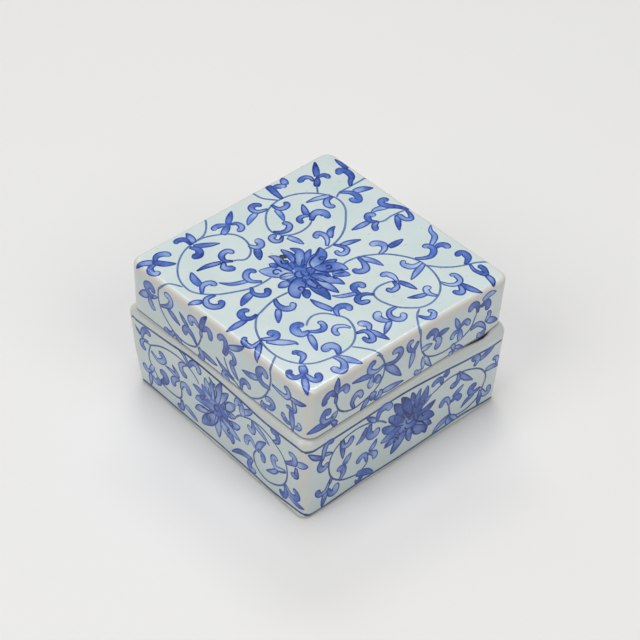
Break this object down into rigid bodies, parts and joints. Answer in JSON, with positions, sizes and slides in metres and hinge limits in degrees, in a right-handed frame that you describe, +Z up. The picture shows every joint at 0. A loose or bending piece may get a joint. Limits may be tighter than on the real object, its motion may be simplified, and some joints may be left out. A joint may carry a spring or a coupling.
{
  "type": "seal paste box",
  "caption": "Square porcelain box with rounded edges for red seal paste, painted in cobalt blue with a lotus scroll; its loose lid lifts off a raised flange.",
  "frame": {"origin": "middle of the foot, on the table", "axes": "+Z up, along the way the lid lifts; the four walls face -X, +X, -Y and +Y, and the picture looks at the -X and -Y walls from above"},
  "size_m": [0.1, 0.1, 0.061],
  "materials": {
    "glazed_porcelain": "glossy pale green-white glaze over cobalt painting, bare biscuit at the foot ring, the seat, the flange and the rim",
    "cinnabar_paste": "oily, fibrous vermilion paste"
  },
  "bodies": {
    "box": {"base": "glazed_porcelain", "seal_paste": "cinnabar_paste"},
    "lid": {"lid": "glazed_porcelain"}
  },
  "joints": [
    {"name": "lid_lift", "type": "slide", "parent": "box", "child": "lid", "axis": [0, 0, 1], "range_m": [0, 0.06]}
  ]
}
